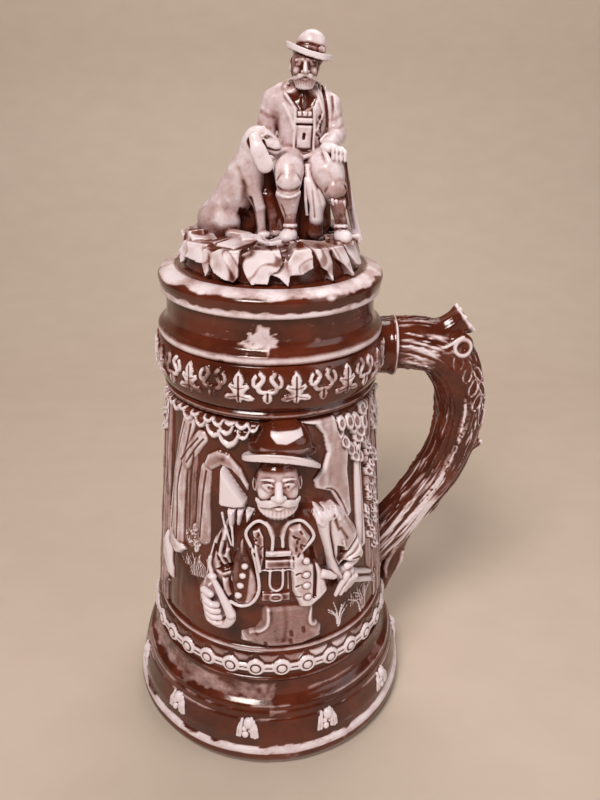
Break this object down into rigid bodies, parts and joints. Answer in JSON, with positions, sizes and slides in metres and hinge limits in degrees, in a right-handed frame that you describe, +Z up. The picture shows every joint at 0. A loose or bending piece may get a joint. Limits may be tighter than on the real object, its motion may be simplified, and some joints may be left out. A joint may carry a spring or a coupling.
{
  "type": "beer stein",
  "caption": "Tall lidded ceramic beer stein with a moulded hunter on its wall, a tree-branch handle and a lift-off lid carrying a seated hunter and his dog on rocks.",
  "frame": {"origin": "centre of the flat underside of the foot, on the mug's axis, in the plane it stands on", "axes": "+Z up along the mug's axis, +X towards the handle, -Y about the way the moulded hunter faces"},
  "size_m": [0.189, 0.153, 0.3418],
  "materials": {
    "mug_glaze": "glossy dark red-brown glaze, wiped off the raised relief to a pinkish white",
    "handle_glaze": "glossy dark red-brown glaze with wiped bark ridges",
    "lid_glaze": "brown glaze wiped almost clean, glossy",
    "rock_glaze": "wiped pinkish white with brown glaze left in the clefts, glossy",
    "figure_glaze": "wiped pinkish white with brown glaze left in the folds, satin to glossy"
  },
  "bodies": {
    "mug": {"mug_body": "mug_glaze", "handle_collar": "handle_glaze", "handle_branch": "handle_glaze"},
    "lid": {"lid_plate": "lid_glaze", "rock_mound": "rock_glaze", "seated_hunter": "figure_glaze", "dog": "figure_glaze"}
  },
  "joints": [
    {"name": "lid_lift", "type": "slide", "parent": "mug", "child": "lid", "axis": [0, 0, 1], "range_m": [0, 0.12]}
  ]
}
